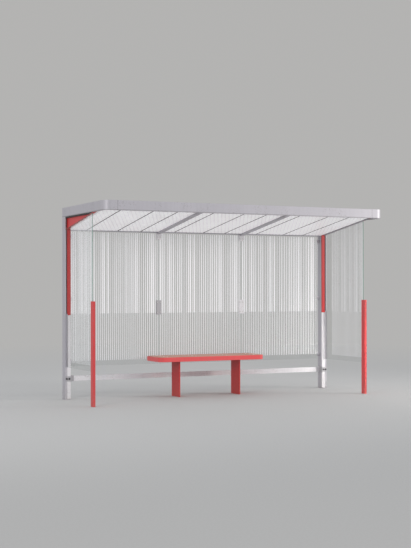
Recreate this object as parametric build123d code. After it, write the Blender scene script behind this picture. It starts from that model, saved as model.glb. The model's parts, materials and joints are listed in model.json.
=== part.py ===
# Bus shelter: two side frames, a roof that falls to the back inside a level
# band, printed glass on three sides, two short front posts and a bench.
# Units are millimetres. +X runs along the shelter to its right end, +Y to the
# back and +Z up. The origin is on the ground under the middle of the roof.
from build123d import *
import os

# Overall size
length = 3820.0
depth = 1485.0
height = 2400.0

# Level band round the front and sides of the roof, a box section
band_height = 115.0
band_width = 30.0
band_wall = 4.0
band_corner_radius = 90.0
band_corner_leg = 166.0
band_seam = 3.0
band_edge_radius = 2.0
spigot_reach = 45.0

# Rear posts: an open glazing slot outside, a closed box inside
post_width = 70.0
post_depth = 116.0
post_wall = 4.0
post_box_width = 44.0
post_base_thickness = 10.0
post_edge_radius = 3.0
front_lip_width = 10.0
glazing_lip_setback = 30.0
glazing_lip_depth = 6.0

# Covers over the front of the rear posts
cover_depth = 20.0
cover_wall = 3.0
cover_split_height = 1055.0

# Short front posts
front_post_width = 32.0
front_post_depth = 76.0
front_post_height = 1236.0
front_post_setback = 373.0
front_post_wall = 4.0
front_post_slot_depth = 20.0
front_post_edge_radius = 3.0

# Glass
glass_thickness = 10.0
glass_bottom = 410.0
back_glass_from_rear = 40.0
pane_joint = 8.0
pane_top_gap = 13.0
pane_side_gap = 22.0
side_pane_top_gap = 2.0
holder_grip = 12.0
holder_wall = 5.0
holder_height = 50.0
holder_from_edge = 60.0

# Roof slope, trays with standing seams, and ribs
roof_fall = 0.153
soffit_front_below_top = 65.0
tray_thickness = 8.0
tray_upstand = 26.0
tray_upstand_wall = 5.0
tray_seam = 4.0
tray_shares = (0.17, 0.515, 0.775)
tray_end_gap = 1.0
hook_wall = 2.5
hook_reach = 12.0
rib_width = 56.0
rib_height = 20.0
rib_wall = 3.0
ledge_width = 25.0
ledge_thickness = 4.0

# Channels that cap the outer trays along the side bands
verge_wall = 4.0

# Beam along the low edge of the roof
beam_depth = 60.0
beam_height = 100.0
beam_wall = 3.0
beam_from_rear = 3.0
beam_below_soffit = 7.0

# Red triangular side infills, with a flange over the top of the side pane
infill_plate = 8.0
infill_rise = 34.0
infill_tip_rise = 15.0
infill_flange = 4.0

# Back rail and its brackets
rail_height = 63.0
rail_depth = 30.0
rail_bottom = 228.0
rail_wall = 3.0
bracket_wall = 5.0
bracket_sleeve = 55.0
bracket_sleeve_wall = 4.0
bracket_behind_rail = 12.0
bracket_margin = 10.0

# Glass clamps
bays = 3
clamp_width = 73.0
clamp_plate = 6.0
clamp_edge_radius = 1.5
top_clamp_height = 86.0
mid_clamp_bottom = 1050.0
mid_clamp_height = 186.0

# Bench, set a little left of the middle
bench_shift = -60.0
bench_length = 1500.0
bench_depth = 465.0
bench_top = 520.0
bench_rear_from_rear = 80.0
bench_corner_radius = 70.0
rim_height = 57.0
rim_wall = 6.0
rim_edge_radius = 2.0
rim_below_top = 4.0
board_count = 4
board_gap = 7.0
board_thickness = 30.0
board_end_gap = 2.0
board_edge_radius = 3.0
batten_width = 45.0
batten_thickness = 12.0
batten_end_gap = 20.0
battens_from_middle = (220.0, 620.0)
crossbar_width = 60.0
crossbar_height = 22.0
leg_thickness = 15.0
leg_depth = 240.0
leg_inset = 311.0
leg_front_setback = 95.0
leg_head_thickness = 6.0
leg_edge_radius = 3.0

# Clearance where one piece seats against another, and how far cuts run past
seat = 0.3
past = 1.0

# Places worked out from the sizes above
half_length = length / 2
front_face = -depth / 2
rear_face = depth / 2
band_bottom = height - band_height
band_inner = half_length - band_width
band_inner_front = front_face + band_width
corner_tail = band_corner_leg - band_corner_radius
post_front = rear_face - post_depth
post_inner = half_length - post_width
post_box_outer = post_inner + post_box_width
glass_plane = half_length - front_post_width / 2
back_glass_plane = rear_face - back_glass_from_rear
beam_front = rear_face - beam_from_rear - beam_depth
trays_rear = beam_front - seat
trays_front = band_inner_front + seat
trays_edge = post_inner - tray_end_gap
soffit_rear = height - soffit_front_below_top - roof_fall * (trays_rear - trays_front)
beam_underside = soffit_rear - beam_below_soffit
inside_corner = band_corner_radius - band_width - seat
infill_outer = band_inner - seat
infill_inner = infill_outer - infill_plate
verge_outer = infill_inner - seat
verge_inner = trays_edge - tray_upstand_wall - seat
panes_reach = post_inner - pane_side_gap
pane_width = (2 * panes_reach - (bays - 1) * pane_joint) / bays
bench_rear = rear_face - bench_rear_from_rear
boards_underside = bench_top - board_thickness
crossbar_top = boards_underside - seat
crossbar_underside = crossbar_top - crossbar_height
leg_middle = bench_length / 2 - leg_inset - leg_thickness / 2


def block(x_span, y_span, z_span):
    """A rectangular block between the given pairs of coordinates."""
    x0, x1 = sorted(x_span)
    y0, y1 = sorted(y_span)
    z0, z1 = sorted(z_span)
    middle = Pos((x0 + x1) / 2, (y0 + y1) / 2, (z0 + z1) / 2)
    return middle * Box(x1 - x0, y1 - y0, z1 - z0)


def tube(x_span, y_span, z_span, wall, along):
    """A box section, open at both ends, running along the axis named."""
    spans = {"x": x_span, "y": y_span, "z": z_span}
    inner = {}
    for axis, span in spans.items():
        low, high = sorted(span)
        cut = -past if axis == along else wall
        inner[axis] = (low + cut, high - cut)
    return block(x_span, y_span, z_span) - block(inner["x"], inner["y"], inner["z"])


def side_plate(points, x_span):
    """A plate drawn in the Y-Z plane and given a thickness along X."""
    x0, x1 = sorted(x_span)
    outline = make_face(Polyline(*points, close=True))
    return extrude(Plane.YZ.offset(x0) * outline, x1 - x0)


def soffit(y):
    """Height of the underside of the roof trays at a place along the depth."""
    return soffit_rear + roof_fall * (trays_rear - y)


def soffit_place(z):
    """Place along the depth where the underside of the trays has a height."""
    return trays_rear - (z - soffit_rear) / roof_fall


def sloped_bar(x_span, y_span, below, above):
    """A bar that follows the roof slope, measured up and down from the soffit."""
    y0, y1 = sorted(y_span)
    points = [
        (y0, soffit(y0) + below),
        (y1, soffit(y1) + below),
        (y1, soffit(y1) + above),
        (y0, soffit(y0) + above),
    ]
    return side_plate(points, x_span)


def rounded_plan(x_half, y_span, radius, z_span):
    """An upright block with rounded corners in plan, centred on X."""
    y0, y1 = sorted(y_span)
    z0, z1 = sorted(z_span)
    plan = RectangleRounded(2 * x_half, y1 - y0, radius)
    return Pos(0, (y0 + y1) / 2, z0) * extrude(plan, z1 - z0)


def joint_place(index):
    """Middle of the joint between two back panes, counted from the left."""
    return -panes_reach + (index + 1) * pane_width + (index + 0.5) * pane_joint


def front_band():
    """Straight front band: a box section with a ledge for the trays."""
    half = half_length - band_corner_leg - band_seam
    x_span = (-half, half)
    y_span = (front_face, band_inner_front)
    band = tube(x_span, y_span, (band_bottom, height), band_wall, "x")
    outer_edges = band.edges().filter_by(Axis.X).group_by(Axis.Y)[0]
    band = fillet(outer_edges, band_edge_radius)
    ledge_span = (band_inner_front, band_inner_front + ledge_width)
    return band + sloped_bar(x_span, ledge_span, -seat - ledge_thickness, -seat)


def corner_leaf(offset_out, offset_in, z_span):
    """One wall of the rounded corner, between two offsets from the outside."""
    centre_x = half_length - band_corner_radius
    centre_y = front_face + band_corner_radius
    outer = band_corner_radius - offset_out
    inner = band_corner_radius - offset_in
    arc_out = CenterArc((centre_x, centre_y), outer, 270.0, 90.0)
    arc_in = CenterArc((centre_x, centre_y), inner, 270.0, 90.0)
    end_x = centre_x - corner_tail
    end_y = centre_y + corner_tail
    wire = [
        arc_out,
        Line((centre_x + outer, centre_y), (centre_x + outer, end_y)),
        Line((centre_x + outer, end_y), (centre_x + inner, end_y)),
        Line((centre_x + inner, end_y), (centre_x + inner, centre_y)),
        arc_in,
        Line((centre_x, centre_y - inner), (end_x, centre_y - inner)),
        Line((end_x, centre_y - inner), (end_x, centre_y - outer)),
        Line((end_x, centre_y - outer), (centre_x, centre_y - outer)),
    ]
    z0, z1 = sorted(z_span)
    return Pos(0, 0, z0) * extrude(make_face(wire), z1 - z0)


def corner_band():
    """Rounded corner of the band, with a spigot into each neighbour."""
    tall = (band_bottom, height)
    corner = corner_leaf(0.0, band_wall, tall)
    round_faces = corner.faces().filter_by(GeomType.CYLINDER).sort_by(SortBy.AREA)
    corner = fillet(round_faces[-1].edges().filter_by(GeomType.CIRCLE), band_edge_radius)
    corner += corner_leaf(band_width - band_wall, band_width, tall)
    corner += corner_leaf(0.0, band_width, (band_bottom, band_bottom + band_wall))
    corner += corner_leaf(0.0, band_width, (height - band_wall, height))
    end_x = half_length - band_corner_leg
    end_y = front_face + band_corner_leg
    corner += block((end_x, end_x + band_wall), (front_face, band_inner_front), tall)
    corner += block((band_inner, half_length), (end_y - band_wall, end_y), tall)
    inset = band_wall + seat
    spigot_z = (band_bottom + inset, height - inset)
    reach = band_seam + spigot_reach
    corner += tube(
        (end_x - reach, end_x + band_wall / 2),
        (front_face + inset, band_inner_front - inset),
        spigot_z,
        band_wall,
        "x",
    )
    corner += tube(
        (band_inner + inset, half_length - inset),
        (end_y - band_wall / 2, end_y + reach),
        spigot_z,
        band_wall,
        "y",
    )
    return corner


def side_band():
    """Side band: a box section with a closed rear end."""
    x_span = (band_inner, half_length)
    y_span = (front_face + band_corner_leg + band_seam, rear_face)
    z_span = (band_bottom, height)
    band = tube(x_span, y_span, z_span, band_wall, "y")
    band += block(x_span, (rear_face - band_wall, rear_face), z_span)
    outer_edges = band.edges().filter_by(Axis.Y).group_by(Axis.X)[-1]
    return fillet(outer_edges, band_edge_radius)


def side_infill():
    """Red plate between side band, post and roof slope, flanged over the glass."""
    tip = soffit_place(band_bottom + infill_tip_rise)
    back = post_front - seat
    top = band_bottom + infill_rise
    outline = [(tip, soffit(tip)), (tip, top), (back, top), (back, soffit(back))]
    plate = side_plate(outline, (infill_inner, infill_outer))
    flange_tip = soffit_place(band_bottom - infill_flange - seat)
    flange_x = (infill_outer, glass_plane + glass_thickness / 2 + infill_flange)
    return plate + sloped_bar(flange_x, (flange_tip, back), 0.0, infill_flange)


def rear_post():
    """Extruded post with a glazing slot, a box chamber and a base plate."""
    leg_z = (0.0, band_bottom - seat)
    outer_plate = (half_length - post_wall, half_length)
    web = (post_box_outer - post_wall, post_box_outer)
    box_front = post_front + cover_depth
    post = block(outer_plate, (post_front, rear_face), leg_z)
    post += block((web[0], half_length), (rear_face - post_wall, rear_face), leg_z)
    post += block(web, (box_front, rear_face), leg_z)
    post += block(
        (half_length - front_lip_width, half_length),
        (post_front, post_front + post_wall),
        leg_z,
    )
    # Inner lips that grip the side pane
    lip_start = post_front + glazing_lip_setback
    lip_y = (lip_start, lip_start + glazing_lip_depth)
    grip = glass_thickness / 2 + seat
    post += block((glass_plane + grip, half_length), lip_y, leg_z)
    post += block((web[0], glass_plane - grip), lip_y, leg_z)
    # The box chamber, closed at its head under the side band
    box_x = (post_inner, post_box_outer)
    chamber = block(box_x, (box_front, rear_face), leg_z)
    chamber -= block(
        (post_inner + post_wall, web[0]),
        (box_front + post_wall, rear_face - post_wall),
        (-past, leg_z[1] - post_wall),
    )
    post += chamber
    long_edges = post.edges().filter_by(Axis.Z)
    rear_corners = long_edges.group_by(Axis.Y)[-1].sort_by(Axis.X)
    post = fillet([rear_corners[0], rear_corners[-1]], post_edge_radius)
    post += block((post_inner, half_length), (post_front, rear_face), (0.0, post_base_thickness))
    # Holders that grip the free edge of the back pane
    glass_top = beam_underside - pane_top_gap
    low_holder = glass_bottom + holder_from_edge
    high_holder = glass_top - holder_from_edge
    for z_middle in (low_holder, (low_holder + high_holder) / 2, high_holder):
        z_span = (z_middle - holder_height / 2, z_middle + holder_height / 2)
        outer_half = glass_thickness / 2 + seat + holder_wall
        holder = block(
            (panes_reach - holder_grip, post_inner),
            (back_glass_plane - outer_half, back_glass_plane + outer_half),
            z_span,
        )
        holder -= block(
            (panes_reach - holder_grip - past, panes_reach + seat),
            (back_glass_plane - grip, back_glass_plane + grip),
            z_span,
        )
        post += holder
    return post


def post_cover(z_span):
    """A U-shaped cover over the front of the box chamber."""
    x_span = (post_inner, post_box_outer)
    y_span = (post_front, post_front + cover_depth - seat)
    cover = block(x_span, y_span, z_span)
    return cover - block(
        (x_span[0] + cover_wall, x_span[1] - cover_wall),
        (y_span[0] + cover_wall, y_span[1] + past),
        (z_span[0] - past, z_span[1] - cover_wall),
    )


def front_post():
    """Short red post, slotted at the back for the side pane."""
    y_front = front_face + front_post_setback
    y_back = y_front + front_post_depth
    inner = half_length - front_post_width
    grip = glass_thickness / 2 + seat
    slot_floor = y_back - front_post_slot_depth - seat
    post = block((inner, half_length), (y_front, y_back), (0.0, front_post_height))
    front_edges = post.edges().filter_by(Axis.Z).group_by(Axis.Y)[0]
    post = fillet(front_edges, front_post_edge_radius)
    post -= block(
        (inner + front_post_wall, half_length - front_post_wall),
        (y_front + front_post_wall, slot_floor - front_post_wall),
        (post_base_thickness, front_post_height - front_post_wall),
    )
    return post - block(
        (glass_plane - grip, glass_plane + grip),
        (slot_floor, y_back + past),
        (glass_bottom - seat, front_post_height + past),
    )


def side_pane():
    """Side pane, cut along its top to the infill flange and the side band."""
    y_front = front_face + front_post_setback + front_post_depth - front_post_slot_depth
    y_back = post_front + glazing_lip_setback + glazing_lip_depth
    half = glass_thickness / 2
    x_span = (glass_plane - half, glass_plane + half)
    flat_top = band_bottom - side_pane_top_gap
    pane = block(x_span, (y_front, y_back), (glass_bottom, flat_top))
    below_slope = sloped_bar(x_span, (y_front, y_back), -height, -side_pane_top_gap)
    return pane & below_slope


def back_pane(index):
    """One of the equal panes of the back wall, counted from the left."""
    x0 = -panes_reach + index * (pane_width + pane_joint)
    half = glass_thickness / 2
    y_span = (back_glass_plane - half, back_glass_plane + half)
    return block((x0, x0 + pane_width), y_span, (glass_bottom, beam_underside - pane_top_gap))


def clamp_plates(x_middle, z_span):
    """Two plates across a pane joint, tied by a web between the panes."""
    half = clamp_width / 2
    grip = glass_thickness / 2 + seat
    web = pane_joint / 2 - seat
    clamp = block(
        (x_middle - web, x_middle + web),
        (back_glass_plane - grip, back_glass_plane + grip),
        z_span,
    )
    for face_side in (-1, 1):
        near = back_glass_plane + face_side * grip
        far = near + face_side * clamp_plate
        plate = block((x_middle - half, x_middle + half), (near, far), z_span)
        outer_face = plate.faces().sort_by(Axis.Y)[-1 if face_side > 0 else 0]
        clamp += fillet(outer_face.edges(), clamp_edge_radius)
    return clamp


def top_clamp(x_middle):
    """Clamp at the head of a pane joint, bridged under the roof beam."""
    z_top = beam_underside - seat
    clamp = clamp_plates(x_middle, (z_top - top_clamp_height, z_top))
    half = clamp_width / 2
    grip = glass_thickness / 2 + seat
    z_span = (beam_underside - pane_top_gap + seat, z_top)
    y_span = (back_glass_plane - grip, back_glass_plane + grip)
    return clamp + block((x_middle - half, x_middle + half), y_span, z_span)


def roof_rib(x_middle):
    """Hollow rib under the trays, notched under the ledges at both ends."""
    half = rib_width / 2
    y_span = (band_inner_front + seat, beam_front - seat)
    x_span = (x_middle - half, x_middle + half)
    rib = sloped_bar(x_span, y_span, -rib_height, -seat)
    rib -= sloped_bar(
        (x_span[0] + rib_wall, x_span[1] - rib_wall),
        (y_span[0] - past, y_span[1] + past),
        -rib_height + rib_wall,
        -seat - rib_wall,
    )
    notch = -2 * seat - ledge_thickness
    front_ledge = band_inner_front + ledge_width + seat
    rear_ledge = beam_front - ledge_width - seat
    wide = (x_span[0] - past, x_span[1] + past)
    rib -= sloped_bar(wide, (y_span[0] - past, front_ledge), notch, past)
    return rib - sloped_bar(wide, (rear_ledge, y_span[1] + past), notch, past)


def tray_edges():
    """Places of the tray edges along the length, both ends included."""
    pitch = pane_width + pane_joint
    edges = [-trays_edge]
    for bay in range(bays):
        start = joint_place(bay - 1)
        edges += [start + share * pitch for share in tray_shares]
    return edges + [trays_edge]


def inside_band(y_end):
    """The space inside the level band, used to trim what lies in it."""
    return rounded_plan(
        band_inner - seat,
        (trays_front, y_end + 2 * inside_corner),
        inside_corner,
        (beam_underside, height),
    )


def roof_tray(x0, x1, hooked):
    """One roof tray; its right upstand may hook over the next tray's."""
    y_span = (trays_front, trays_rear)
    tray = sloped_bar((x0, x1), y_span, 0.0, tray_thickness)
    hook_top = tray_upstand + seat + hook_wall
    left_top = tray_upstand if x0 > -trays_edge else hook_top
    tray += sloped_bar((x0, x0 + tray_upstand_wall), y_span, 0.0, left_top)
    tray += sloped_bar((x1 - tray_upstand_wall, x1), y_span, 0.0, hook_top)
    if hooked:
        lip = x1 + tray_seam + tray_upstand_wall + seat
        cap_x = (x1 - tray_upstand_wall, lip + hook_wall)
        tray += sloped_bar(cap_x, y_span, tray_upstand + seat, hook_top)
        tray += sloped_bar((lip, lip + hook_wall), y_span, hook_top - hook_reach, hook_top)
    return tray & inside_band(trays_rear)


def roof_edge():
    """Channel that caps the outer tray's upstand along the side band."""
    y_span = (trays_front, post_front - seat)
    low = tray_upstand + hook_wall + 2 * seat
    high = low + verge_wall
    channel = sloped_bar((verge_inner - verge_wall, verge_outer), y_span, low, high)
    channel += sloped_bar((verge_outer - verge_wall, verge_outer), y_span, 0.0, high)
    lip_x = (verge_inner - verge_wall, verge_inner)
    channel += sloped_bar(lip_x, y_span, high - verge_wall - hook_reach, high)
    return channel & inside_band(rear_face)


def rear_beam():
    """Box beam along the low edge of the roof, with a ledge for the trays."""
    half = post_inner - seat
    x_span = (-half, half)
    y_span = (beam_front, beam_front + beam_depth)
    z_span = (beam_underside, beam_underside + beam_height)
    beam = tube(x_span, y_span, z_span, beam_wall, "x")
    for end in (-1, 1):
        outer = end * half
        beam += block((outer, outer - end * beam_wall), y_span, z_span)
    return beam + sloped_bar(
        (-half, half),
        (beam_front - ledge_width, beam_front),
        -seat - ledge_thickness,
        -seat,
    )


def back_rail():
    """Hollow rail between the rear posts, below the glass."""
    half = post_inner - bracket_wall - 2 * seat
    y_span = (back_glass_plane - rail_depth / 2, back_glass_plane + rail_depth / 2)
    return tube((-half, half), y_span, (rail_bottom, rail_bottom + rail_height), rail_wall, "x")


def rail_bracket():
    """Bracket bent round the post front, with a sleeve for the rail."""
    outer = post_inner - seat
    inner = outer - bracket_wall
    front = post_front - seat - bracket_wall
    rear = back_glass_plane + rail_depth / 2 + bracket_behind_rail
    rail_top = rail_bottom + rail_height
    bracket = block((inner, outer), (front, rear), (rail_bottom - bracket_margin, rail_top + bracket_margin))
    bracket += block(
        (inner, half_length - front_lip_width / 2),
        (front, post_front - seat),
        (rail_bottom, rail_top),
    )
    half = rail_depth / 2 + seat
    sleeve_x = (inner - bracket_sleeve, inner)
    sleeve = block(
        sleeve_x,
        (back_glass_plane - half - bracket_sleeve_wall, back_glass_plane + half + bracket_sleeve_wall),
        (rail_bottom - seat - bracket_sleeve_wall, rail_top + seat + bracket_sleeve_wall),
    )
    sleeve -= block(
        sleeve_x,
        (back_glass_plane - half, back_glass_plane + half),
        (rail_bottom - seat, rail_top + seat),
    )
    return bracket + sleeve


def bench_frame():
    """Rounded rim with cross bars that carry the seat and the legs."""
    rim_top = bench_top - rim_below_top
    rim_z = (rim_top - rim_height, rim_top)
    half = bench_length / 2
    y_span = (bench_rear - bench_depth, bench_rear)
    inner_y = (y_span[0] + rim_wall, y_span[1] - rim_wall)
    inner_radius = bench_corner_radius - rim_wall
    frame = rounded_plan(half, y_span, bench_corner_radius, rim_z)
    frame = fillet(frame.faces().sort_by(Axis.Z)[-1].edges(), rim_edge_radius)
    frame = fillet(frame.faces().sort_by(Axis.Z)[0].edges(), rim_edge_radius)
    cut_z = (rim_z[0] - past, rim_z[1] + past)
    frame -= rounded_plan(half - rim_wall, inner_y, inner_radius, cut_z)
    for x_middle in (-leg_middle, 0.0, leg_middle):
        frame += block(
            (x_middle - crossbar_width / 2, x_middle + crossbar_width / 2),
            (inner_y[0] - rim_wall / 2, inner_y[1] + rim_wall / 2),
            (crossbar_underside, crossbar_top),
        )
    return Pos(bench_shift, 0, 0) * frame


def bench_seat():
    """Timber boards joined by battens and rounded to fit inside the rim."""
    inset = rim_wall + board_end_gap
    half = bench_length / 2 - inset
    y_span = (bench_rear - bench_depth + inset, bench_rear - inset)
    board = (y_span[1] - y_span[0] - (board_count - 1) * board_gap) / board_count
    seat_top = None
    for index in range(board_count):
        y0 = y_span[0] + index * (board + board_gap)
        one = block((-half, half), (y0, y0 + board), (boards_underside, bench_top))
        top_edges = one.edges().group_by(Axis.Z)[-1].filter_by(Axis.X)
        one = fillet(top_edges, board_edge_radius)
        seat_top = one if seat_top is None else seat_top + one
    outline = rounded_plan(
        half, y_span, bench_corner_radius - inset, (boards_underside - past, bench_top + past)
    )
    seat_top = seat_top & outline
    for from_middle in battens_from_middle:
        for x_middle in (-from_middle, from_middle):
            seat_top += block(
                (x_middle - batten_width / 2, x_middle + batten_width / 2),
                (y_span[0] + batten_end_gap, y_span[1] - batten_end_gap),
                (boards_underside - batten_thickness, boards_underside),
            )
    return Pos(bench_shift, 0, 0) * seat_top


def bench_leg(side):
    """Flat leg plate with a narrow head that bolts under a cross bar."""
    x_middle = side * leg_middle
    y_front = bench_rear - bench_depth + leg_front_setback
    y_span = (y_front, y_front + leg_depth)
    z_top = crossbar_underside - seat
    leg = block(
        (x_middle - leg_thickness / 2, x_middle + leg_thickness / 2), y_span, (0.0, z_top)
    )
    leg = fillet(leg.edges().filter_by(Axis.Z), leg_edge_radius)
    leg += block(
        (x_middle - crossbar_width / 2, x_middle + crossbar_width / 2),
        y_span,
        (z_top - leg_head_thickness, z_top),
    )
    return Pos(bench_shift, 0, 0) * leg


parts = {}
parts["front_band"] = front_band()
parts["rear_beam"] = rear_beam()
parts["back_rail"] = back_rail()
parts["bench_frame"] = bench_frame()
parts["bench_seat"] = bench_seat()

cover_top = band_bottom - seat
right_hand = {
    "corner_band": corner_band(),
    "side_band": side_band(),
    "side_infill": side_infill(),
    "rear_post": rear_post(),
    "post_cover_lower": post_cover((post_base_thickness + seat, cover_split_height)),
    "post_cover_upper": post_cover((cover_split_height + seat, cover_top)),
    "front_post": front_post(),
    "side_pane": side_pane(),
    "rail_bracket": rail_bracket(),
    "roof_edge": roof_edge(),
}
for name, shape in right_hand.items():
    parts["right_" + name] = shape
    parts["left_" + name] = mirror(shape, about=Plane.YZ)

parts["left_bench_leg"] = bench_leg(-1)
parts["right_bench_leg"] = bench_leg(1)

for index, place in enumerate(("left", "centre", "right")):
    parts[f"back_pane_{place}"] = back_pane(index)
for index, place in enumerate(("left", "right")):
    x_joint = joint_place(index)
    z_mid = (mid_clamp_bottom, mid_clamp_bottom + mid_clamp_height)
    parts[f"roof_rib_{place}"] = roof_rib(x_joint)
    parts[f"top_clamp_{place}"] = top_clamp(x_joint)
    parts[f"mid_clamp_{place}"] = clamp_plates(x_joint, z_mid)

edges_along = tray_edges()
last_tray = len(edges_along) - 1
for number, (x0, x1) in enumerate(zip(edges_along, edges_along[1:]), start=1):
    gap_start = 0.0 if number == 1 else tray_seam / 2
    gap_end = 0.0 if number == last_tray else tray_seam / 2
    parts[f"roof_tray_{number}"] = roof_tray(x0 + gap_start, x1 - gap_end, number < last_tray)

os.makedirs("parts", exist_ok=True)
for name, shape in parts.items():
    export_step(shape, f"parts/{name}.step")
    print(name, len(shape.solids()), round(shape.volume / 1e9, 5), "m3")
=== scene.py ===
# %% [markdown]
# # A bus shelter, dressed for the camera
# The solids of the shelter come from its CAD frame and are never touched here.
# This lesson gives them their finishes, adds the small things that a solid
# model leaves out, and sets up the camera and a plain studio.

# %% Load the frame
import json
import math

import bpy
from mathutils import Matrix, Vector


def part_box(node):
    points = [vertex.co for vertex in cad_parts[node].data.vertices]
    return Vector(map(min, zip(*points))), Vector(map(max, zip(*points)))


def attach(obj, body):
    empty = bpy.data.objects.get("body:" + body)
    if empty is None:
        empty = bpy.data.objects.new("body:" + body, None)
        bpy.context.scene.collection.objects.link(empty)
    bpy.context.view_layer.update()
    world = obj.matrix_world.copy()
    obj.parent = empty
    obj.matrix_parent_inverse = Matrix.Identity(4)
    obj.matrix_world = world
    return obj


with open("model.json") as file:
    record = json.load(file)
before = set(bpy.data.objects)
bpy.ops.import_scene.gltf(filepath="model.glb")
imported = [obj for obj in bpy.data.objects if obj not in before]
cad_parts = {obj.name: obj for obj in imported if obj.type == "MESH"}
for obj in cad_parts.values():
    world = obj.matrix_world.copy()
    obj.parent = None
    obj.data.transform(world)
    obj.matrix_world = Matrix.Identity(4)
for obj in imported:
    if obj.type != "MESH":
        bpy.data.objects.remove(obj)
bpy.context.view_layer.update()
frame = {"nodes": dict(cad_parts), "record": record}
nodes = frame["nodes"]
bpy.ops.object.select_all(action="DESELECT")

# %% [markdown]
# ## The camera
# The photograph is taken at eye level from the front left, with a long lens. The
# camera stands at the same place, looks level, and uses a small upward shift in
# place of a tilt, so that upright posts stay upright.

# %% Set the camera
eye_place = (-6.465, -12.790, 1.367)
eye_turn = (math.radians(90.0), math.radians(0.066), math.radians(-25.85))
lens_mm, sensor_mm = 74.01, 36.0
eye_shift = 0.0294
see_to = 400.0
shelter_middle = (0, 0, 1.2)

camera_data = bpy.data.cameras.new("eye")
camera_data.lens = lens_mm
camera_data.sensor_width = sensor_mm
camera_data.shift_y = eye_shift
camera_data.clip_end = see_to
camera = bpy.data.objects.new("eye", camera_data)
camera.location = eye_place
camera.rotation_euler = eye_turn
bpy.context.scene.collection.objects.link(camera)
bpy.context.scene.camera = camera
eye_distance = (Vector(eye_place) - Vector(shelter_middle)).length
print("camera", round(eye_distance, 2), "m from the middle")

# %% [markdown]
# ## Shader sums as plain Python
# A material is a chain of nodes. Written one by one they hide the idea behind
# them, so one small class wraps a socket and lets plain sums build the chain.

# %% A socket that takes part in sums
class Flow:
    """One output socket of a material. Sums on it add Math nodes."""

    def __init__(self, tree, socket):
        self.tree = tree
        self.socket = socket

    def node(self, kind, settings=None, feeds=None, out=0):
        """Add a node: first its settings, then what feeds its sockets."""
        made = self.tree.nodes.new(kind)
        for key, value in (settings or {}).items():
            if key == "stops":
                set_stops(made.color_ramp, value)
            elif key == "interpolation":
                made.color_ramp.interpolation = value
            else:
                setattr(made, key, value)
        for key, value in (feeds or {}).items():
            if isinstance(value, Flow):
                self.tree.links.new(value.socket, made.inputs[key])
            else:
                made.inputs[key].default_value = value
        return Flow(self.tree, made.outputs[out])

    def math(self, operation, *others):
        feeds = {0: self}
        feeds.update({place: other for place, other in enumerate(others, start=1)})
        return self.node("ShaderNodeMath", {"operation": operation}, feeds)

    def __add__(self, other):
        return self.math("ADD", other)

    def __radd__(self, other):
        return self.math("ADD", other)

    def __sub__(self, other):
        return self.math("SUBTRACT", other)

    def __rsub__(self, other):
        return self.node("ShaderNodeMath", {"operation": "SUBTRACT"}, {0: other, 1: self})

    def __mul__(self, other):
        return self.math("MULTIPLY", other)

    def __rmul__(self, other):
        return self.math("MULTIPLY", other)

    def __truediv__(self, other):
        return self.math("DIVIDE", other)

    def __gt__(self, other):
        return self.math("GREATER_THAN", other)

    def __lt__(self, other):
        return self.math("LESS_THAN", other)

    def floor(self):
        return self.math("FLOOR")

    def part(self):
        """The part of the value past the whole number below it."""
        return self.math("FRACT")

    def size(self):
        return self.math("ABSOLUTE")

    def split(self):
        """The X, Y and Z of a vector, each as a flow of its own."""
        parts = self.node("ShaderNodeSeparateXYZ", feeds={0: self}).socket.node.outputs
        return [Flow(self.tree, parts[i]) for i in range(3)]

    def ramp(self, stops, interpolation="LINEAR"):
        return self.node(
            "ShaderNodeValToRGB",
            {"interpolation": interpolation, "stops": stops},
            {"Fac": self},
        )

    def fit(self, low, high, to_low=0.0, to_high=1.0):
        """Move the range low..high onto another range and stop at its ends."""
        return self.node(
            "ShaderNodeMapRange",
            {"clamp": True},
            {
                "Value": self,
                "From Min": low,
                "From Max": high,
                "To Min": to_low,
                "To Max": to_high,
            },
        )


def set_stops(ramp, stops):
    """Give a colour ramp its stops, each a place and a grey or a colour."""
    while len(ramp.elements) > 1:
        ramp.elements.remove(ramp.elements[-1])
    for index, (place, value) in enumerate(stops):
        stop = ramp.elements[0] if index == 0 else ramp.elements.new(place)
        stop.position = place
        grey = isinstance(value, float)
        stop.color = (value, value, value, 1.0) if grey else (*value, 1.0)


print("shader sums ready")

# %% [markdown]
# ## One bench for every finish
# Each finish needs the same start: a Principled shader, the place on the piece in
# metres, and a way to mix two colours. The place is read from Object coordinates,
# so a pattern keeps its size on every piece and stays put in every view.

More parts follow.
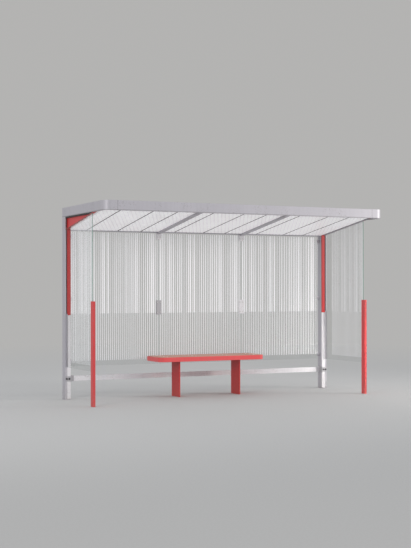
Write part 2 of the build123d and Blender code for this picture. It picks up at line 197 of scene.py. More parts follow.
# %% The start of a finish
class Finish:
    """A material with one Principled shader and a few helpers for its maps."""

    def __init__(self, name, **constants):
        self.material = bpy.data.materials.new(name)
        self.material.use_nodes = True
        self.tree = self.material.node_tree
        self.shader = self.tree.nodes["Principled BSDF"]
        for socket, value in constants.items():
            self.shader.inputs[socket.replace("_", " ")].default_value = value
        self.start = Flow(self.tree, None)
        self.place = self.start.node("ShaderNodeTexCoord", out="Object")
        self.x, self.y, self.z = self.place.split()

    def facing(self):
        """How far the surface faces along X, Y and Z, each from -1 to 1."""
        return self.start.node("ShaderNodeTexCoord", out="Normal").split()

    def stretched(self, x, y, z):
        """The place, with each direction multiplied."""
        return self.start.node(
            "ShaderNodeVectorMath", {"operation": "MULTIPLY"}, {0: self.place, 1: (x, y, z)}
        )

    def noise(self, scale, detail=3.0, roughness=0.5, where=None):
        return self.start.node(
            "ShaderNodeTexNoise",
            {"noise_dimensions": "3D"},
            {
                "Vector": where or self.place,
                "Scale": scale,
                "Detail": detail,
                "Roughness": roughness,
            },
        )

    def own_value(self, number):
        """A value from 0 to 1 that belongs to a whole number."""
        return self.start.node(
            "ShaderNodeTexWhiteNoise", {"noise_dimensions": "1D"}, {"W": number + 0.5}
        )

    def mix(self, share, first, second):
        """Mix two colours; share 0 gives the first and 1 the second."""
        feeds = {0: share}
        for place, colour in ((6, first), (7, second)):
            feeds[place] = (*colour, 1.0) if isinstance(colour, tuple) else colour
        return self.start.node("ShaderNodeMix", {"data_type": "RGBA"}, feeds, out=2)

    def bump(self, height, strength, distance):
        feeds = {"Strength": strength, "Distance": distance, "Height": height}
        return self.start.node("ShaderNodeBump", feeds=feeds)

    def set(self, **maps):
        """Feed maps into the shader's own sockets and give the material back."""
        for socket, flow in maps.items():
            self.tree.links.new(flow.socket, self.shader.inputs[socket.replace("_", " ")])
        return self.material


print("finish bench ready")

# %% [markdown]
# ## Silver-grey powder coat
# The band, posts, ribs and beam are coated in a silver-grey powder with a little
# metal flake. The rail, the lower covers and most clamps have a paler one, which is
# partly a lighter paint and partly painted sunlight, and the brackets a darker one,
# which on the left clamp at mid height is painted shade. Close up it has a fine
# orange-peel skin, faint rain streaks, small chips in clusters, pale scuffs, and
# road dust near the ground. A darker line runs along the lower edge of the roof band.

# %% Make the silver-grey paint
band_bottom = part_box("front_band")[0].z
dark_edge_height = 0.014
dark_edge_colour = (0.16, 0.15, 0.15)
splash_height = 0.42
chip_colour = (0.24, 0.225, 0.215)
skin_scale, skin_strength, skin_depth = 420.0, 0.12, 0.0006
# how strongly each kind of wear covers the paint
streak_share, splash_share, settled_share = 0.35, 0.55, 0.35
dark_edge_share, chip_share, scuff_share = 0.6, 0.65, 0.35


def powder_coat(name, colour, dust, metal, clean_rough):
    """A powder-coated metal with rain streaks, dust, a dark band edge, chips and fine skin."""
    coat = Finish(name, Metallic=metal, Coat_Roughness=0.25)
    pale = tuple(min(1.0, c * 1.06) for c in colour)
    dark = tuple(c * 0.9 for c in colour)
    pale_scuff = tuple(0.6 * c + 0.25 for c in colour)
    upward = coat.facing()[2]
    # clouds of tone and rain streaks
    cloudy = coat.noise(1.6, 4.0).fit(0.3, 0.7)
    streaks = coat.noise(1.0, 3.0, where=coat.stretched(38.0, 38.0, 1.1)).fit(0.42, 0.72)
    body = coat.mix(cloudy, colour, pale)
    body = coat.mix(streaks * streak_share, body, dark)
    # dust that splashes up from the road and dust that settles on top
    low = coat.z.fit(0.0, splash_height, 1.0, 0.0)
    splash = coat.noise(55.0, 5.0, 0.7).fit(0.35, 0.75) * low * low
    body = coat.mix(splash * splash_share, body, dust)
    settled = upward.fit(0.6, 1.0) * coat.noise(9.0, 4.0).fit(0.3, 0.8) * settled_share
    body = coat.mix(settled, body, dust)
    # a darker line along the lower edge of the band
    dark_edge = coat.z.fit(band_bottom, band_bottom + dark_edge_height, 1.0, 0.0)
    dark_edge = dark_edge * (coat.z > band_bottom - 0.0001) * (1.0 - upward.size())
    body = coat.mix(dark_edge * dark_edge_share, body, dark_edge_colour)
    # chips and scuffs, both in clusters
    chips = coat.noise(75.0, 4.0, 0.65).fit(0.605, 0.635) * coat.noise(4.3, 2.0).fit(0.50, 0.60)
    body = coat.mix(chips * chip_share, body, chip_colour)
    scuffs = coat.noise(1.0, 5.0, 0.75, coat.stretched(9.0, 9.0, 60.0)).fit(0.58, 0.68)
    scuffed = scuffs * coat.noise(2.7, 2.0).fit(0.45, 0.6) * scuff_share
    body = coat.mix(scuffed, body, pale_scuff)
    # worn paint is duller; the last number is the roughness of the clean paint
    rough = cloudy * 0.06 + splash * 0.25 + settled * 0.3 + scuffs * 0.12 + clean_rough
    skin = coat.bump(coat.noise(skin_scale, 2.0), skin_strength, skin_depth)
    return coat.set(Base_Color=body, Roughness=rough, Normal=skin)


road_dust = (0.33, 0.29, 0.24)
silver = powder_coat("silver_powder_coat", (0.497, 0.482, 0.523), road_dust, 0.25, 0.47)
# a paler coat: partly a lighter paint, partly painted sunlight
pale_and_sunlit_silver = powder_coat("pale_and_sunlit_silver_coat", (0.77, 0.755, 0.78), road_dust, 0.2, 0.42)
# a darker coat: the brackets' own paint, and painted shade on the left mid clamp
dark_coat_and_clamp_shade = powder_coat("bracket_coat_and_clamp_shade", (0.45, 0.44, 0.465), road_dust, 0.3, 0.45)
print("coats:", silver.name, pale_and_sunlit_silver.name, dark_coat_and_clamp_shade.name)

# %% [markdown]
# ## Red paint
# The short posts and the infills are a warm red that the sun has faded a little.
# On the upper post covers and the bench legs a deeper red is painted shade, and
# the lighter red of the bench rim is painted sunlight. The wear is the same as
# the silver's, so the same function makes all three.

# %% Make the red paint
red = powder_coat("faded_red_coat", (0.62, 0.055, 0.060), (0.42, 0.22, 0.18), 0.0, 0.38)
# a deeper red: painted shade on the upper post covers and the bench legs
shade_painted_red = powder_coat("painted_shade_red_coat", (0.50, 0.022, 0.024), (0.42, 0.17, 0.13), 0.0, 0.42)
# a lighter red: painted sunlight on the bench rim
sunlit_rim_red = powder_coat("sunlit_bench_rim_red_coat", (0.74, 0.088, 0.094), (0.48, 0.24, 0.20), 0.0, 0.34)
print("red paints:", red.name, shade_painted_red.name, sunlit_rim_red.name)

# %% [markdown]
# ## Printed glass
# White enamel is printed on the panes in upright lines. Below chest height they
# are thin and even; above it each line widens by its own amount, so that they
# look like an uneven fence. White noise on the line's number picks its width,
# which is smaller on the side panes. A last strip at the bottom and a margin at
# each side stay clear. Only the inner face carries the print, because ink on both
# would close the gaps between the lines. Where a side pane runs into its post, a
# grey enamel hem hides the slot. The back panes have none, so theirs would begin
# where the pane ends.

# %% Make the printed glass
line_pitch = 0.0272
thin_line = 0.25
bar_widths = [(0.0, 0.27), (0.22, 0.35), (0.5, 0.43), (0.75, 0.52), (0.92, 0.68)]
side_share = 0.78
lines_from, bars_from = 0.475, 1.072
edge_margin, post_margin = 0.004, 0.20
hem_width = 0.030
# the ink glows a little: painted light that stands in for daylight through the enamel
ink_glow_strength = 0.15
no_light = (0.0, 0.0, 0.0)
glass_colour = (0.10, 0.14, 0.13)
ink_colour, ink_glow_colour = (0.86, 0.86, 0.88), (0.95, 0.97, 1.0)
hem_outside, hem_inside = (0.475, 0.46, 0.50), (0.72, 0.71, 0.74)
# how much of each is seen in place of what lies behind the pane
ink_cover, hem_cover, grime_cover, clear_cover = 0.88, 0.85, 0.04, 0.05
# the cut edges of the panes: a colour and how much of it is seen
# the pale edge colour of the back panes is painted light over the shade in the joint between
# them
back_rim_painted_light = ((0.80, 0.84, 0.83), 0.75)
side_rim = ((0.10, 0.26, 0.20), 0.6)


def printed_pane(name, along, inward, middle, start, end, hem_from):
    """Glass with lines along one axis, printed on the face that looks inward."""
    pane = Finish(name, IOR=1.5, Metallic=0.0, Emission_Strength=ink_glow_strength)
    on_back = along == "x"
    run, depth = (pane.x, pane.y) if on_back else (pane.y, pane.x)
    rim_colour, rim_share = back_rim_painted_light if on_back else side_rim
    # the lines, each counted from the start of the pane
    count = (run - start) / line_pitch
    wide = pane.own_value(count.floor()).ramp(bar_widths, "CONSTANT")
    wide = wide * (1.0 if on_back else side_share)
    off_middle = (count.part() - 0.5).size() * 2.0
    bar = (off_middle < wide) * (pane.z > bars_from)
    line = (off_middle < thin_line) * (pane.z > lines_from) * (pane.z < bars_from)
    # the ink lies between the margins, on the inner face and not on the cut edges
    across = pane.facing()[1 if on_back else 0]
    rim = 1.0 - across.size().fit(0.4, 0.6)
    inner = (depth - middle) * inward > 0.0
    ink = (bar + line) * (run > start) * (run < end) * (1.0 - rim) * inner
    hem = (run > hem_from) * (pane.z < bars_from) * (1.0 - rim)
    grime = pane.noise(3.0, 5.0, 0.65).fit(0.35, 0.8)
    body = pane.mix(rim, glass_colour, rim_colour)
    body = pane.mix(hem, body, pane.mix(inner, hem_outside, hem_inside))
    body = pane.mix(ink, body, ink_colour)
    cover = ink * ink_cover + rim * rim_share + hem * hem_cover
    return pane.set(
        Base_Color=body,
        Alpha=cover + grime * grime_cover + clear_cover,
        Roughness=ink * 0.3 + grime * 0.06 + 0.04,
        Emission_Color=pane.mix(ink, no_light, ink_glow_colour),
    )


pane_finish = {}
hem_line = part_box("right_rear_post")[0].y - hem_width
for node_name in nodes:
    if "pane" in node_name:
        low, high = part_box(node_name)
        middle = (low + high) / 2
        if high.x - low.x > high.y - low.y:
            start, end = low.x + edge_margin, high.x - edge_margin
            print_area = ("x", -1.0, middle.y, start, end, high.x)
        else:
            inward = -1.0 if low.x > 0 else 1.0
            start, end = low.y + edge_margin, high.y - post_margin
            print_area = ("y", inward, middle.x, start, end, hem_line)
        pane_finish[node_name] = printed_pane("printed_" + node_name, *print_area)
print(len(pane_finish), "printed panes")

# %% [markdown]
# ## Roof sheet
# The roof is white translucent sheet with a fine pattern of dots. Daylight
# falls through it, so it is brightest from below. Subsurface scattering and a
# faint glow of the lower side do just that, without the noise of true refraction.
# The upper side is dulled by what the rain leaves behind.

# %% Make the roof sheet
dot_pitch = 0.052
dot_radius, dot_blur = 0.2, 0.03
dot_colour, dot_share = (0.50, 0.49, 0.50), 0.8
run_off_colour, run_off_share, top_dust = (0.50, 0.47, 0.42), 0.5, 0.12
sky_through = 0.22

sheet = Finish(
    "dotted_roof_sheet",
    Subsurface_Weight=1.0,
    Subsurface_Radius=(1.0, 1.0, 1.0),
    Subsurface_Scale=0.02,
    IOR=1.45,
    Emission_Strength=sky_through,
)
row = sheet.y / dot_pitch
odd_row = (row.floor() * 0.5).part()
across = (sheet.x / dot_pitch + odd_row).part() - 0.5
along_row = row.part() - 0.5
far = (across * across + along_row * along_row).math("SQRT")
dot = far.fit(dot_radius - dot_blur, dot_radius + dot_blur, 1.0, 0.0)
haze = sheet.noise(2.2, 4.0).fit(0.3, 0.75)
clean = sheet.mix(haze, (0.86, 0.85, 0.87), (0.80, 0.79, 0.80))
sheet_colour = sheet.mix(dot * dot_share, clean, dot_colour)
run_off = sheet.noise(1.0, 5.0, 0.6, sheet.stretched(16.0, 1.3, 1.0)).fit(0.42, 0.78)
up = sheet.facing()[2].fit(0.5, 0.9)
top_dirt = up * (run_off * run_off_share + top_dust)
sheet_colour = sheet.mix(top_dirt, sheet_colour, run_off_colour)
roof_sheet = sheet.set(
    Base_Color=sheet_colour,
    Emission_Color=sheet.mix(up, sheet_colour, no_light),
    Roughness=haze * 0.15 + 0.4,
    Normal=sheet.bump(dot, 0.2, 0.0008),
)
print("roof sheet:", roof_sheet.name)

# %% [markdown]
# ## Seat timber
# The seat boards are an oiled hardwood that has gone a little pink and grey.
# Grain is noise that is stretched along the board; each board reads its own
# slice of it, picked by its number across the seat.

# %% Make the timber
seat_low, seat_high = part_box("bench_seat")
seat_depth = seat_high.y - seat_low.y
board_count, board_gap = 4, 0.007

wood = Finish("oiled_seat_timber", IOR=1.45)
board = ((wood.y - seat_low.y) / (seat_depth / board_count)).floor()
slice_shift = wood.start.node(
    "ShaderNodeCombineXYZ", feeds={0: board * 3.7, 1: board * 1.9, 2: 0.0}
)
grain_place = wood.start.node(
    "ShaderNodeVectorMath",
    {"operation": "ADD"},
    {0: wood.stretched(1.6, 26.0, 26.0), 1: slice_shift},
)
grain = wood.noise(1.0, 6.0, 0.62, grain_place)
fibre = wood.noise(1.0, 3.0, 0.5, wood.stretched(30.0, 900.0, 900.0))
tone = wood.own_value(board)
shade = grain.fit(0.28, 0.74) * 0.75 + fibre.fit(0.3, 0.7) * 0.15 + tone * 0.18
timber_colour = shade.ramp(
    [(0.0, (0.32, 0.16, 0.115)), (0.45, (0.50, 0.27, 0.205)), (1.0, (0.64, 0.40, 0.32))]
)
timber = wood.set(
    Base_Color=timber_colour,
    Roughness=grain * 0.2 + 0.5,
    Normal=wood.bump(grain * 0.7 + fibre * 0.3, 0.35, 0.0012),
)
print("timber on", board_count, "boards")

# %% [markdown]
# ## Small metals and rubber
# Screw heads are plain stainless steel and bolt heads have a dark coat. Gaskets
# are dull black rubber with a little grey bloom. The same black fills the gap under
# each side band as painted shade.

# %% Make the small finishes
def speckled(name, colours, metal, scale, detail, reach, rough, worn_rough):
    """A small finish whose colour and roughness follow one fine noise."""
    part = Finish(name, Metallic=metal)
    wear = part.noise(scale, detail).fit(*reach)
    return part.set(
        Base_Color=part.mix(wear, *colours), Roughness=wear * worn_rough + rough
    )


steel_grey = ((0.66, 0.655, 0.65), (0.78, 0.775, 0.77))
steel_head = speckled(
    "stainless_heads", steel_grey,
    metal=1.0, scale=260.0, detail=3.0, reach=(0.3, 0.7), rough=0.36, worn_rough=0.15,
)
bolt_grey = ((0.045, 0.045, 0.05), (0.13, 0.12, 0.12))
dark_head = speckled(
    "dark_bolt_coat", bolt_grey,
    metal=0.6, scale=180.0, detail=3.0, reach=(0.4, 0.75), rough=0.4, worn_rough=0.2,
)
rubber_and_shade_greys = ((0.03, 0.03, 0.032), (0.075, 0.072, 0.07))
# black rubber for gaskets and seams, and a black sheet for painted shade in the band gaps
rubber_and_shade_black = speckled(
    "weathered_gasket_and_shade_black", rubber_and_shade_greys,
    metal=0.0, scale=90.0, detail=4.0, reach=(0.35, 0.7), rough=0.55, worn_rough=0.2,
)
print("small finishes:", steel_head.name, dark_head.name, rubber_and_shade_black.name)

# %% [markdown]
# ## Dress the frame
# Every node of the frame keeps its mesh and gets the finish of its slot. The
# record already says which slot each node has. A few nodes get another finish:
# the rail and the lower covers the paler coat, partly painted sunlight; the upper
# covers and the bench legs a deeper red as painted shade; the bench rim a lighter
# red as painted sunlight; and the left clamp at mid height the darker coat as
# painted shade.

# %% Give each node its finish
slot_finish = {
    "silver_paint": silver,
    "red_paint": red,
    "roof_sheet": roof_sheet,
    "timber": timber,
    "dark_fittings": dark_coat_and_clamp_shade,
    "pale_fittings": pale_and_sunlit_silver,
}
tone_and_painted_light = {
    # paler coat, partly painted sunlight
    "back_rail": pale_and_sunlit_silver,
    "cover_lower": pale_and_sunlit_silver,
    # deeper red: painted shade
    "cover_upper": shade_painted_red,
    "bench_leg": shade_painted_red,
    # lighter red: painted sunlight
    "bench_frame": sunlit_rim_red,
    # darker coat on this clamp: painted shade
    "mid_clamp_left": dark_coat_and_clamp_shade,
}
for entry in frame["record"]["subparts"]:
    name = entry["node"]
    finish = pane_finish.get(name) or slot_finish[entry["material_slot"]]
    for ending, override_finish in tone_and_painted_light.items():
        if name.endswith(ending):
            finish = override_finish
    mesh = nodes[name].data
    mesh.materials.clear()
    mesh.materials.append(finish)

# %% [markdown]
# ## Choosing faces and edges in code
# By hand one clicks on a face; in code one says where it is. These helpers start
# a piece from a primitive, pick its faces or edges by a test on their middle, and
# hand the finished piece to the frame.

# %% Helpers for modelling
sides = ((-1, "left"), (1, "right"))


def start_piece(name, adder, **shape):
    """Add a primitive with nothing else selected and settle its place."""
    bpy.ops.object.select_all(action="DESELECT")
    adder(**shape)
    piece = bpy.context.object
    piece.name = name
    bpy.ops.object.transform_apply(location=True, rotation=True, scale=True)
    return piece


def pick(piece, kind, test):
    """In edit mode, select the faces or edges whose middle passes a test."""
    bpy.ops.object.mode_set(mode="EDIT")
    bpy.ops.mesh.select_mode(type=kind)
    bpy.ops.mesh.select_all(action="DESELECT")
    bpy.ops.object.mode_set(mode="OBJECT")
    mesh = piece.data
    for item in mesh.polygons if kind == "FACE" else mesh.edges:
        corners = [mesh.vertices[i].co for i in item.vertices]
        item.select = test(sum(corners, Vector()) / len(corners))
    bpy.ops.object.mode_set(mode="EDIT")


def finish_piece(piece, finish, slot):
    """Leave edit mode, give the piece its finish and hang it on the frame."""
    if bpy.context.mode != "OBJECT":
        bpy.ops.object.mode_set(mode="OBJECT")
    piece.data.materials.clear()
    piece.data.materials.append(finish)
    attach(piece, "root")
    return piece


def copies(pattern, name, spots, finish, slot):
    """Copy a pattern to each place, turned to face a direction, as one piece."""
    made = []
    for place, outward in spots:
        copy = pattern.copy()
        copy.data = pattern.data.copy()
        bpy.context.scene.collection.objects.link(copy)
        copy.location = place
        copy.rotation_euler = Vector(outward).to_track_quat("Z", "Y").to_euler()
        made.append(copy)
    bpy.ops.object.select_all(action="DESELECT")
    for copy in made:
        copy.select_set(True)
    bpy.context.view_layer.objects.active = made[0]
    bpy.ops.object.transform_apply(location=True, rotation=True, scale=True)
    if len(made) > 1:
        bpy.ops.object.join()
    piece = bpy.context.view_layer.objects.active
    piece.name = name
    print(name, "has", len(made), "copies,", len(piece.data.polygons), "faces")
    return finish_piece(piece, finish, slot)


print("helpers ready, sides:", [side_name for side, side_name in sides])

# %% [markdown]
# ## One screw
# The clamps, the glass holders and the seat boards are held by round socket
# screws. The screw is modelled once, from a cylinder: its rim is bevelled, and
# the socket is an inset that is pushed in.

# %% Model one socket screw
def socket_screw(radius, height):
    """A low round head with a bevelled rim and a recess."""
    head = start_piece(
        "socket_screw",
        bpy.ops.mesh.primitive_cylinder_add,
        vertices=24,
        radius=radius,
        depth=height,
        location=(0.0, 0.0, height / 2),
    )
    pick(head, "EDGE", lambda middle: middle.z > height * 0.99)
    bpy.ops.mesh.bevel(offset=height * 0.45, segments=3)
    pick(head, "FACE", lambda middle: middle.z > height * 0.99)
    bpy.ops.mesh.inset(thickness=radius * 0.22)
    push_in = (0.0, 0.0, -height * 0.55)
    bpy.ops.mesh.extrude_region_move(TRANSFORM_OT_translate={"value": push_in})
    bpy.ops.object.mode_set(mode="OBJECT")
    bpy.ops.object.shade_smooth_by_angle(angle=math.radians(35.0))
    return head


screw = socket_screw(radius=0.0075, height=0.0045)
print("socket screw", len(screw.data.polygons), "faces")

# %% [markdown]
# ## One bolt
# The rail brackets, the rear beam and the bench legs are held by hexagon bolts.
# A bolt is a cylinder of six sides with a chamfer, on a thin round washer.

# %% Model one hexagon bolt on its washer
def hexagon_bolt(radius, height, washer_radius, washer_height):
    """A hexagon head with a chamfer, standing on a round washer."""
    washer = start_piece(
        "washer",
        bpy.ops.mesh.primitive_cylinder_add,
        vertices=32,
        radius=washer_radius,
        depth=washer_height,
        location=(0.0, 0.0, washer_height / 2),
    )
    pick(washer, "EDGE", lambda middle: middle.z > washer_height * 0.99)
    bpy.ops.mesh.bevel(offset=washer_height * 0.3, segments=1)
    bpy.ops.object.mode_set(mode="OBJECT")
    head = start_piece(
        "hexagon_bolt",
        bpy.ops.mesh.primitive_cylinder_add,
        vertices=6,
        radius=radius,
        depth=height,
        location=(0.0, 0.0, washer_height + height / 2),
    )
    top = washer_height + height
    pick(head, "EDGE", lambda middle: middle.z > top - height * 0.01)
    bpy.ops.mesh.bevel(offset=height * 0.14, segments=2)
    bpy.ops.object.mode_set(mode="OBJECT")
    washer.select_set(True)
    bpy.context.view_layer.objects.active = head
    bpy.ops.object.join()
    return head


bolt = hexagon_bolt(radius=0.0098, height=0.0075, washer_radius=0.0125, washer_height=0.002)
print("hexagon bolt", len(bolt.data.polygons), "faces")

# %% [markdown]
# ## Screws on the glass fittings
# Each clamp has its screws left and right of the joint of the panes, on both
# faces. The holders on the posts have three screws each, on both faces too. All
# places are read from the boxes of the nodes.

# %% Put the screws on the clamps and holders
clamp_inset = 0.03
joint_to_screw = 0.021
clamp_spots = []
for clamp_node in ("mid_clamp_left", "mid_clamp_right", "top_clamp_left", "top_clamp_right"):
    low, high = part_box(clamp_node)
    joint_x = (low.x + high.x) / 2
    rows = [low.z + clamp_inset]
    if "mid" in clamp_node:
        rows.append(high.z - clamp_inset)
    for z in rows:
        for x in (joint_x - joint_to_screw, joint_x + joint_to_screw):
            clamp_spots.append(((x, low.y, z), (0, -1, 0)))
            clamp_spots.append(((x, high.y, z), (0, 1, 0)))
copies(screw, "clamp_screws", clamp_spots, steel_head, "pale_fittings")

glass_low, glass_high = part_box("back_pane_right")
glass_middle = (glass_low.y + glass_high.y) / 2
holder_half = 0.0103
holder_inset = 0.06
holder_x = glass_high.x + 0.008
holder_rows = (
    glass_low.z + holder_inset,
    (glass_low.z + glass_high.z) / 2,
    glass_high.z - holder_inset,
)
holder_spots = [
    ((side * holder_x, glass_middle + face * holder_half, z), (0, face, 0))
    for side in (-1, 1)
    for face in (-1, 1)
    for z in holder_rows
]
copies(screw, "holder_screws", holder_spots, steel_head, "pale_fittings")

# %% [markdown]
# ## Bolts on the frame and the bench
# Two bolts hold each rail bracket, two hold each end of the rear beam, and four
# hold each bench leg from below. The seat boards are screwed down in four rows.

# %% Put the bolts on the rail brackets, the beam and the bench
sleeve_bolt, post_bolt = 0.078, 0.013
bracket_low, bracket_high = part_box("right_rail_bracket")
rail_low, rail_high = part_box("back_rail")
rail_z = (rail_low.z + rail_high.z) / 2
bracket_spots = [
    ((side * x, bracket_low.y, rail_z), (0, -1, 0))
    for side in (-1, 1)
    for x in (bracket_low.x + sleeve_bolt, bracket_high.x - post_bolt)
]
copies(bolt, "bracket_bolts", bracket_spots, dark_head, "dark_fittings")

beam_inset, beam_edge = 0.04, 0.028
beam_low, beam_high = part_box("rear_beam")
beam_spots = [
    ((side * (beam_high.x - beam_inset), beam_high.y, z), (0, 1, 0))
    for side in (-1, 1)
    for z in (beam_low.z + beam_edge, beam_high.z - beam_edge)
]
copies(bolt, "beam_bolts", beam_spots, dark_head, "dark_fittings")

leg_head = 0.006
leg_bolt_x, leg_bolt_inset = 0.0185, 0.03
leg_spots = []
for side, side_name in sides:
    low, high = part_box(f"{side_name}_bench_leg")
    middle_x = (low.x + high.x) / 2
    for x in (middle_x - leg_bolt_x, middle_x + leg_bolt_x):
        for y in (low.y + leg_bolt_inset, high.y - leg_bolt_inset):
            leg_spots.append(((x, y, high.z - leg_head), (0, 0, -1)))
copies(bolt, "leg_bolts", leg_spots, dark_head, "dark_fittings")

seat_rows = (0.22, 0.62)
bench_low, bench_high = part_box("bench_frame")
bench_middle = (bench_low.x + bench_high.x) / 2
board_width = (seat_depth - (board_count - 1) * board_gap) / board_count
board_middles = [
    seat_low.y + board_width * (n + 0.5) + board_gap * n for n in range(board_count)
]
seat_spots = [
    ((bench_middle + side * reach, y, seat_high.z), (0, 0, 1))
    for side in (-1, 1)
    for reach in seat_rows
    for y in board_middles
]
copies(screw, "seat_screws", seat_spots, steel_head, "dark_fittings")
bpy.data.objects.remove(screw)
bpy.data.objects.remove(bolt)

# %% [markdown]
# ## Strips and trims
# A black strip fills the gap between each side band and the red infill as painted
# shade, and black rubber covers each roof seam from below. A thin trim runs along
# the slope of each infill, and a filler closes each glazing slot below its pane. A
# strip is a cube drawn out to its length and softened with a bevel; the one in the
# gap is cut to the roof's slope with a bisect. A little room is left between a strip
# and the solids.

# %% Helpers for strips
roof_fall = 0.153
roof_angle = math.atan(roof_fall)
tray_low, tray_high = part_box("roof_tray_5")
room = 0.0005


def soffit_height(y):
    """Height of the underside of the roof at a place along the depth."""
    return tray_low.z + roof_fall * (tray_high.y - y)


def soften(piece, width):
    """Bevel every edge of a piece."""
    pick(piece, "EDGE", lambda middle: True)
    bpy.ops.mesh.bevel(offset=width, segments=2)
    bpy.ops.object.mode_set(mode="OBJECT")


def strip(name, low, high, tilt=0.0):
    """A cube drawn out between two corners, then tilted about X to full length."""
    spans = [b - a for a, b in zip(low, high)]
    spans[1] /= math.cos(tilt)
    return start_piece(
        name,
        bpy.ops.mesh.primitive_cube_add,
        size=1.0,
        location=[(a + b) / 2 for a, b in zip(low, high)],
        rotation=(tilt, 0.0, 0.0),
        scale=spans,
    )


print("the roof falls", round(math.degrees(roof_angle), 2), "degrees")

# %% [markdown]
# ## Along the infills
# Each infill is an upright plate with a flange that reaches out over the glass. In
# the gap under the band, a black strip lies on the flange outside the plate as
# painted shade. The trim below the plate follows the slope. In the photograph the
# left one shows in the red of the infill and the right one as a thin grey line.

# %% Model the painted-shade gap strips and the slope trims
post_low, post_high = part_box("right_rear_post")
plate_low, plate_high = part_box("right_side_infill")
flange_reach = 0.0233
plate_face = plate_high.x - flange_reach
gap_front, gap_height = plate_low.y + 0.13, 0.017
strip_rear = post_low.y - 0.001
above_slope = 0.0055
trim_x = (plate_low.x + 0.0003, plate_low.x + 0.0163)
trim_y = (plate_low.y + 0.012, strip_rear)
trim_z = soffit_height(sum(trim_y) / 2) - 0.0026
trim_half = 0.002
trim_finish = {"left": (red, "red_paint"), "right": (silver, "silver_paint")}

for side, side_name in sides:
    # a black strip in the gap under the band: painted shade
    gap_x = sorted((side * (plate_face + room), side * (plate_high.x - room)))
    shade_gap_strip = strip(
        f"{side_name}_gap_shade_strip",
        (gap_x[0], gap_front, band_bottom - gap_height),
        (gap_x[1], strip_rear, band_bottom - room),
    )
    pick(shade_gap_strip, "FACE", lambda middle: True)
    bpy.ops.mesh.bisect(
        plane_co=(0.0, 0.0, soffit_height(0.0) + above_slope),
        plane_no=(0.0, math.sin(roof_angle), math.cos(roof_angle)),
        use_fill=True,
        clear_inner=True,
    )
    finish_piece(shade_gap_strip, rubber_and_shade_black, "dark_fittings")
    edge_x = sorted(side * x for x in trim_x)
    slope_trim = strip(
        f"{side_name}_slope_trim",
        (edge_x[0], trim_y[0], trim_z - trim_half),
        (edge_x[1], trim_y[1], trim_z + trim_half),
        -roof_angle,
    )
    soften(slope_trim, 0.001)
    finish_piece(slope_trim, *trim_finish[side_name])
# the gap strips are painted shade
print("2 gap shade strips and 2 slope trims, plate face at", round(plate_face, 4))

# %% [markdown]
# ## Rings in the seams of the band
# A rubber ring lies in each seam between a rounded corner and its neighbours. It
# is a cube with two opposite ends taken off and a wall given by Solidify.

# %% Model the seam rings
seam_gap, seam_room = 0.003, 0.0002
ring_wall = 0.0036
band_thick = 0.03


def seam_ring(name, low, high, axis):
    """A cube with two opposite ends taken off and its wall thickened inward."""
    ring = strip(name, low, high)
    middle_place = (low[axis] + high[axis]) / 2
    reach = (high[axis] - low[axis]) * 0.4
    pick(ring, "FACE", lambda middle: abs(middle[axis] - middle_place) > reach)
    bpy.ops.mesh.delete(type="FACE")
    bpy.ops.object.mode_set(mode="OBJECT")
    wall = ring.modifiers.new("wall", "SOLIDIFY")
    wall.thickness = ring_wall
    wall.offset = -1.0
    wall.use_even_offset = True
    bpy.ops.object.modifier_apply(modifier=wall.name)
    return finish_piece(ring, rubber_and_shade_black, "dark_fittings")


band_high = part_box("front_band")[1]
for side, side_name in sides:
    low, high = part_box(f"{side_name}_corner_band")
    side_low, side_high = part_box(f"{side_name}_side_band")
    seam_x = sorted((side * band_high.x, side * (band_high.x + seam_gap)))
    seam_ring(
        f"{side_name}_front_seam",
        (seam_x[0] + seam_room, low.y + room, low.z + room),
        (seam_x[1] - seam_room, low.y + band_thick - room, high.z - room),
        0,
    )
    seam_ring(
        f"{side_name}_side_seam",
        (side_low.x + room, side_low.y - seam_gap + seam_room, low.z + room),
        (side_high.x - room, side_low.y - seam_room, high.z - room),
        1,
    )
print("4 seam rings, wall", ring_wall * 1000, "mm")

# %% [markdown]
# ## Fillers and roof seams
# Below the glass a thin filler closes the slot of each rear post. Under the roof,
# a flat rubber strip covers the seam between each two trays.

# %% Model the slot fillers and the seam rubbers
filler_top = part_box("left_side_pane")[0].z - 0.001
cover_low, cover_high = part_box("right_post_cover_lower")
filler_reach = (cover_high.x + 0.0004, post_high.x - 0.0104)
filler_y = (post_low.y + room, post_low.y + 0.0035)
for side, side_name in sides:
    filler_x = sorted(side * x for x in filler_reach)
    filler = strip(
        f"{side_name}_slot_filler",
        (filler_x[0], filler_y[0], cover_low.z),
        (filler_x[1], filler_y[1], filler_top),
    )
    soften(filler, 0.0008)
    finish_piece(filler, silver, "silver_paint")

seam_half, seam_thick = 0.0068, 0.0014
seam_end = 0.002
seam_front, seam_rear = band_high.y + seam_end, beam_low.y - seam_end
seam_z = soffit_height((seam_front + seam_rear) / 2) - seam_thick / 2 - seam_room
last_tray = 10
for number in range(2, last_tray + 1):
    seam_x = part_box(f"roof_tray_{number}")[0].x - 0.002
    seam = strip(
        f"seam_rubber_{number - 1}",
        (seam_x - seam_half, seam_front, seam_z - seam_thick / 2),
        (seam_x + seam_half, seam_rear, seam_z + seam_thick / 2),
        -roof_angle,
    )
    soften(seam, 0.0005)
    finish_piece(seam, rubber_and_shade_black, "dark_fittings")
print("2 slot fillers and", last_tray - 1, "seam rubbers")

# %% [markdown]
# ## The background
# The world lights the shelter evenly with a pale sky. Where the camera sees the
# world itself, directly, in a reflection or through the glass, it shows a plain
# grey in its place.

# %% Set the world
backdrop_colour = (0.455, 0.452, 0.445)
sky_colour, sky_strength = (0.95, 0.97, 1.0), 0.85

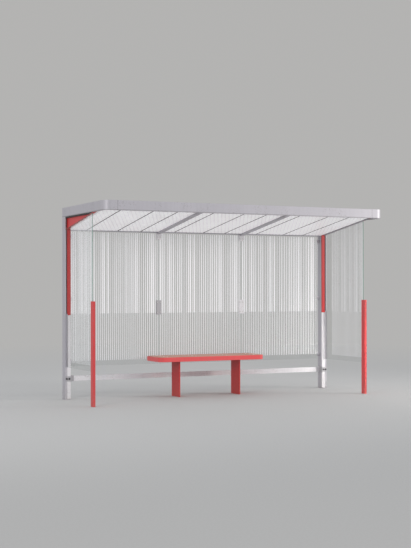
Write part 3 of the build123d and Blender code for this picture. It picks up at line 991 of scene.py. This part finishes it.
world = bpy.data.worlds.new("studio")
bpy.context.scene.world = world
world.use_nodes = True
world_tree = world.node_tree
world_tree.nodes.clear()
air = Flow(world_tree, None)
rays = air.node("ShaderNodeLightPath", out="Is Camera Ray").socket.node.outputs
seen = Flow(world_tree, rays["Is Camera Ray"]) + Flow(world_tree, rays["Is Glossy Ray"])
seen = (seen + Flow(world_tree, rays["Is Transmission Ray"])).math("MINIMUM", 1.0)
light_air = air.node(
    "ShaderNodeBackground", feeds={"Color": (*sky_colour, 1.0), "Strength": sky_strength}
)
shown_air = air.node(
    "ShaderNodeBackground", feeds={"Color": (*backdrop_colour, 1.0), "Strength": 1.0}
)
both = air.node("ShaderNodeMixShader", feeds={0: seen, 1: light_air, 2: shown_air})
world_out = world_tree.nodes.new("ShaderNodeOutputWorld")
world_tree.links.new(both.socket, world_out.inputs[0])
print("world light", sky_strength)

# %% [markdown]
# ## The lamps
# A large lamp at the front right stands for the soft sun of the photograph and a
# weaker one at the front left fills the shade. A narrow low lamp brightens the
# lower part of the right end, where the sun reaches in. It is hidden from
# reflections, which keeps the glass free of bright specks.

# %% Set the lamps
def soft_lamp(name, place, aim, size, power, colour, spread):
    """A round soft lamp that points from one place at another."""
    data = bpy.data.lights.new(name, "AREA")
    data.shape = "DISK"
    data.size = size
    data.energy = power
    data.color = colour
    data.spread = math.radians(spread)
    lamp = bpy.data.objects.new(name, data)
    lamp.location = place
    lamp.rotation_euler = (Vector(aim) - Vector(place)).to_track_quat("-Z", "Y").to_euler()
    bpy.context.scene.collection.objects.link(lamp)
    return lamp


soft_lamp(
    "right_key", (9.0, -5.0, 3.0), (0.9, 0.0, 1.3),
    size=2.4, power=84.0, colour=(1.0, 0.965, 0.92), spread=70.0,
)
soft_lamp(
    "left_fill", (-9.0, -6.0, 3.5), (-1.5, 0.0, 1.3),
    size=3.0, power=34.0, colour=(1.0, 0.98, 0.96), spread=70.0,
)
low_sun = soft_lamp(
    "low_sun", (1.3, -7.5, 1.2), (2.05, 0.3, 0.52),
    size=1.2, power=2.6, colour=(1.0, 0.97, 0.93), spread=14.0,
)
low_sun.visible_glossy = False

# %% [markdown]
# ## The floor
# The floor is a wide pale disc that fades into the background before it ends,
# so there is no horizon line.

# %% Lay the floor
floor_radius = 120.0
fade_from, fade_to = 4.0, 14.0
floor_tints = ((0.50, 0.497, 0.49), (0.54, 0.537, 0.53))

bpy.ops.mesh.primitive_circle_add(vertices=96, radius=floor_radius, fill_type="NGON")
floor = bpy.context.object
floor.name = "studio_floor"
ground = Finish("pale_floor", Specular_IOR_Level=0.0)
out = (ground.x * ground.x + ground.y * ground.y).math("SQRT")
fade = out.fit(fade_from, fade_to)
speck = ground.noise(60.0, 3.0).fit(0.3, 0.7)
ground.set(Base_Color=ground.mix(speck, *floor_tints), Roughness=speck * 0.1 + 0.75)
glow = ground.start.node(
    "ShaderNodeEmission", feeds={"Color": (*backdrop_colour, 1.0), "Strength": 1.0}
)
shader_out = Flow(ground.tree, ground.shader.outputs[0])
blend = ground.start.node("ShaderNodeMixShader", feeds={0: fade, 1: shader_out, 2: glow})
ground.tree.links.new(blend.socket, ground.tree.nodes["Material Output"].inputs[0])
floor.data.materials.append(ground.material)
bpy.context.scene.view_settings.view_transform = "Standard"
print("floor fades from", fade_from, "to", fade_to, "m")
